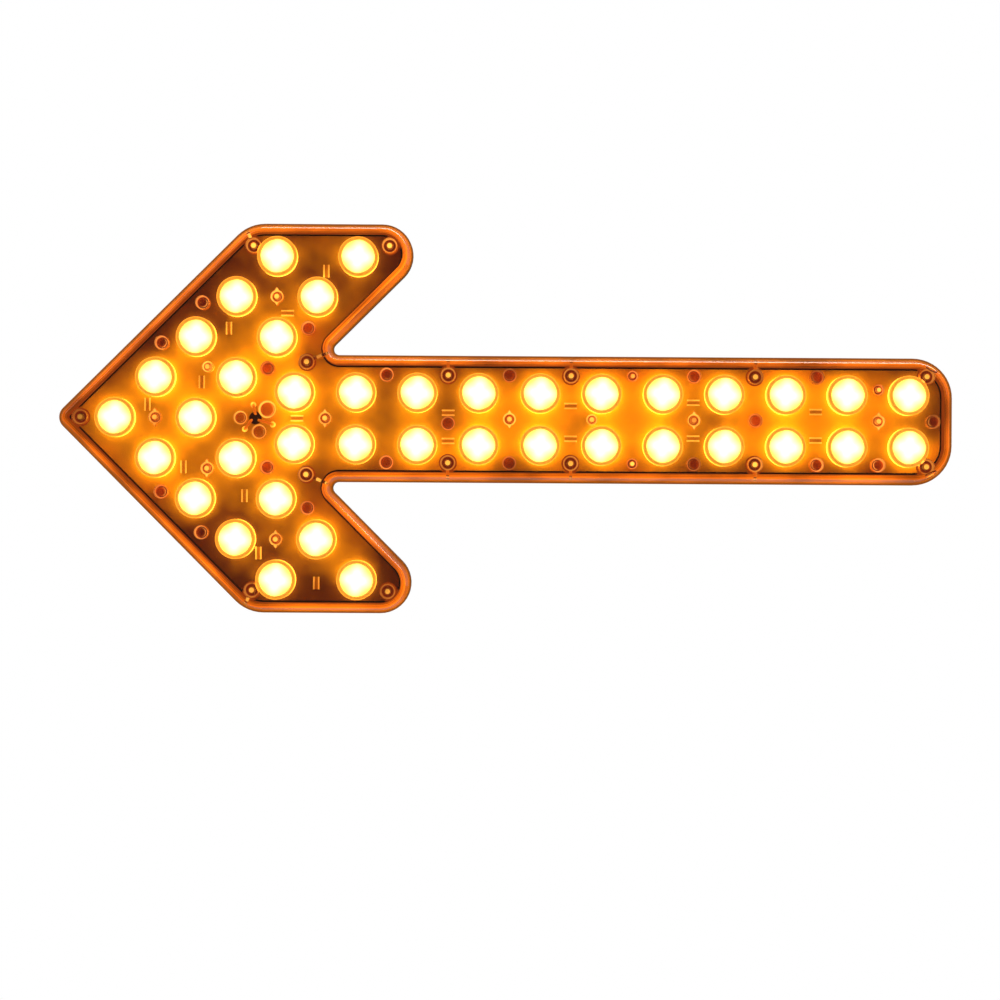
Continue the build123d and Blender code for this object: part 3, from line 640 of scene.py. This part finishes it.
class LAMP_OT_board(bpy.types.Operator):
    """Finishes the board and what is soldered to it"""

    bl_idname = "arrow_lamp.board"
    bl_label = "Board and parts"

    def execute(self, context):
        finish_node("circuit_board", masked_laminate(context.scene.lamp_board))
        tin = plain_finish("tinned_terminal", ("#E4E2DC", "#F5F3EE"), (0.45, 0.6), 2 * MM, metallic=0.3)
        glaze = plain_finish("resistor_glaze", ("#8A6C3C", "#9C7B48"), (0.3, 0.42), 2 * MM)
        body = bmesh.new()
        ends = bmesh.new()
        for low, high in parts_of("chip_resistors"):
            size, middle = high - low, (low + high) / 2
            upright = size.z > size.x
            across = Vector((1, 0, 0)) if upright else Vector((0, 0, 1))
            width, length = (size.x, size.z) if upright else (size.z, size.x)
            face = [width, length] if upright else [length, width]
            glazed = (face[0] * 0.94, size.y - 0.1 * MM, face[1] * 0.985)
            block(body, middle + Vector((0, 0.05 * MM, 0)), glazed, 0.12 * MM)
            for side in (-1, 1):
                lengths = (0.8 * MM, length) if upright else (length, 0.8 * MM)
                place = middle + across * side * (width / 2 - 0.4 * MM)
                block(ends, place, (lengths[0], size.y, lengths[1]), 0.1 * MM)
        piece("resistor_bodies", body, glaze, ["chip_resistors"])
        piece("resistor_terminals", ends, tin)
        epoxy = plain_finish("moulding_epoxy", ("#121214", "#1B1B1E"), (0.45, 0.6), 1.5 * MM)
        for node in ("controller_chip", "protection_diodes"):
            finish_node(node, epoxy)
        can = plain_finish("aluminium_can", ("#BFC0C2", "#D8D9DB"), (0.25, 0.35), 3 * MM, metallic=1.0)
        finish_node("smoothing_capacitors", can)
        sleeve = plain_finish("silicone_sleeve", ("#B98A4A", "#CDA060"), (0.4, 0.55), 4 * MM)
        finish_node("lead_wires", sleeve)
        finish_node("solder_joints", tin)
        return {"FINISHED"}


class LAMP_OT_inlet(bpy.types.Operator):
    """Finishes the power inlet"""

    bl_idname = "arrow_lamp.inlet"
    bl_label = "Power inlet"

    def execute(self, context):
        nickel = plain_finish("nickel_plated_brass", ("#B4AFA3", "#CFCABD"), (0.2, 0.3), 3 * MM, metallic=1.0)
        for node in ("inlet_shell", "inlet_locknut"):
            finish_node(node, nickel)
        finish_node("inlet_insert", plain_finish("black_polyamide", ("#2A221A", "#352B20"), (0.4, 0.5), 2 * MM))
        gold = plain_finish("gold_flash", ("#D7A544", "#E9BD62"), (0.18, 0.25), 1 * MM, metallic=1.0)
        finish_node("inlet_pins", gold)
        return {"FINISHED"}


class LAMP_OT_lamps(bpy.types.Operator):
    """Makes the lit lenses, and finishes their holders and LEDs"""

    bl_idname = "arrow_lamp.lamps"
    bl_label = "Lamps"

    def execute(self, context):
        settings = context.scene.lamp_light
        lit = lit_acrylic(settings)
        low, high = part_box(LENS_NODES[0])
        lens_radius = (high.x - low.x) / 2
        for node in LENS_NODES:
            bm = welded(node)
            unwrap_face_on(bm, [lens_centre(node)], lens_radius)
            piece(node.replace("lens_", "collimator_"), bm, lit, [node])
        rings = welded("lens_holders")
        unwrap_face_on(rings, [lens_centre(node) for node in LENS_NODES], settings.holder_radius)
        piece("holder_rings", rings, glowing_holder(settings), ["lens_holders"])
        phosphor = plain_finish("led_phosphor", ("#E3A62C", "#EBB845"), (0.4, 0.5), 1 * MM)
        finish_node("leds", phosphor)
        return {"FINISHED"}


class LAMP_OT_stage(bpy.types.Operator):
    """Sets the pale floor, the soft lights and the camera"""

    bl_idname = "arrow_lamp.stage"
    bl_label = "Stage"

    def execute(self, context):
        scene = context.scene
        settings = scene.lamp_stage
        scene.view_settings.view_transform = "Standard"
        floor = bmesh.new()
        bmesh.ops.create_grid(floor, x_segments=1, y_segments=1, size=8.0)
        bmesh.ops.translate(floor, verts=floor.verts, vec=(0, 0, -settings.floor_drop))
        mesh = bpy.data.meshes.new("floor")
        floor.to_mesh(mesh)
        floor.free()
        pale, tree, output = material("pale_floor")
        cloud = add(tree, "TexNoise", {"Vector": add(tree, "TexCoord").outputs["Object"], "Scale": 3.0})
        stops = [(0.3, settings.floor), (0.7, linear("#FBFBFB"))]
        tone = add(tree, "ValToRGB", {"Fac": cloud.outputs["Fac"]}, stops)
        pale_top = add(tree, "BsdfPrincipled", {"Base Color": tone.outputs[0], "Roughness": 0.7})
        dimmed = add(tree, "BsdfDiffuse", {"Color": linear("#707070")})
        away = add(tree, "VectorMath", {0: add(tree, "TexCoord").outputs["Object"]}, operation="LENGTH")
        seen = add(tree, "LightPath").outputs["Is Camera Ray"]
        reach = {"From Min": 0.5, "From Max": 1.5, "To Min": 0.55}
        far = add(tree, "MapRange", {"Value": away.outputs["Value"], **reach})
        fade = add(tree, "Math", {0: far.outputs[0], 1: seen}, operation="MULTIPLY")
        horizon = add(tree, "Emission", {"Color": linear("#FFFFFF"), "Strength": 1.0})
        lit = add(tree, "MixShader", {0: seen, 1: dimmed.outputs[0], 2: pale_top.outputs[0]})
        surface = add(tree, "MixShader", {0: fade.outputs[0], 1: lit.outputs[0], 2: horizon.outputs[0]})
        tree.links.new(surface.outputs[0], output.inputs["Surface"])
        mesh.materials.append(pale)
        ground = bpy.data.objects.new("floor", mesh)
        scene.collection.objects.link(ground)

        world = bpy.data.worlds.new("pale_surround")
        world.use_nodes = True
        tree = world.node_tree
        tree.nodes.clear()
        seen = add(tree, "LightPath").outputs["Is Camera Ray"]
        strength = add(tree, "MapRange", {"Value": seen, "To Min": settings.ambient, "To Max": 1.0})
        sky = add(tree, "Background", {"Color": linear("#FFFFFF"), "Strength": strength.outputs[0]})
        add(tree, "OutputWorld", {"Surface": sky.outputs[0]})
        scene.world = world

        for name, place, size, power in (
            ("key", (-1.2, -1.6, 1.4), 1.2, 3.5),
            ("fill", (1.5, -1.2, 0.8), 1.4, 2.0),
            ("back", (0.4, 1.8, 1.2), 1.4, 26.0),
        ):
            light = bpy.data.lights.new(name, "AREA")
            light.size, light.energy = size, power
            lamp = bpy.data.objects.new(name, light)
            lamp.location = place
            lamp.rotation_euler = (-Vector(place)).to_track_quat("-Z", "Y").to_euler()
            scene.collection.objects.link(lamp)

        data = bpy.data.cameras.new("camera")
        data.sensor_width = 36.0
        data.lens = data.sensor_width * settings.distance / settings.span
        camera = bpy.data.objects.new("camera", data)
        upright = Matrix.Rotation(math.pi / 2, 4, "X") @ Matrix.Rotation(settings.roll, 4, "Z")
        place = (settings.aim_right, -settings.distance, -settings.aim_down)
        camera.matrix_world = Matrix.Translation(place) @ upright
        scene.collection.objects.link(camera)
        scene.camera = camera
        return {"FINISHED"}


class LAMP_PT_panel(bpy.types.Panel):
    """The lamp's pieces, in the sidebar"""

    bl_label = "Arrow Lamp"
    bl_idname = "LAMP_PT_panel"
    bl_space_type = "VIEW_3D"
    bl_region_type = "UI"
    bl_category = "Arrow Lamp"

    def draw(self, context):
        for group in SETTINGS:
            for name in group.__annotations__:
                self.layout.prop(getattr(context.scene, SETTINGS[group]), name)
        for operator in OPERATORS:
            self.layout.operator(operator.bl_idname)


SETTINGS = {
    CasingSettings: "lamp_casing",
    BoardSettings: "lamp_board",
    LightSettings: "lamp_light",
    StageSettings: "lamp_stage",
}
OPERATORS = [
    LAMP_OT_cover,
    LAMP_OT_housing,
    LAMP_OT_fasteners,
    LAMP_OT_board,
    LAMP_OT_inlet,
    LAMP_OT_lamps,
    LAMP_OT_stage,
]


def register():
    for group, name in SETTINGS.items():
        bpy.utils.register_class(group)
        setattr(bpy.types.Scene, name, bpy.props.PointerProperty(type=group))
    for made in (*OPERATORS, LAMP_PT_panel):
        bpy.utils.register_class(made)


def unregister():
    for made in (LAMP_PT_panel, *reversed(OPERATORS)):
        bpy.utils.unregister_class(made)
    for group, name in SETTINGS.items():
        delattr(bpy.types.Scene, name)
        bpy.utils.unregister_class(group)


def main():
    register()
    bpy.ops.arrow_lamp.cover()
    bpy.ops.arrow_lamp.housing()
    bpy.ops.arrow_lamp.fasteners()
    bpy.ops.arrow_lamp.board()
    bpy.ops.arrow_lamp.inlet()
    bpy.ops.arrow_lamp.lamps()
    bpy.ops.arrow_lamp.stage()


if __name__ == "__main__":
    main()
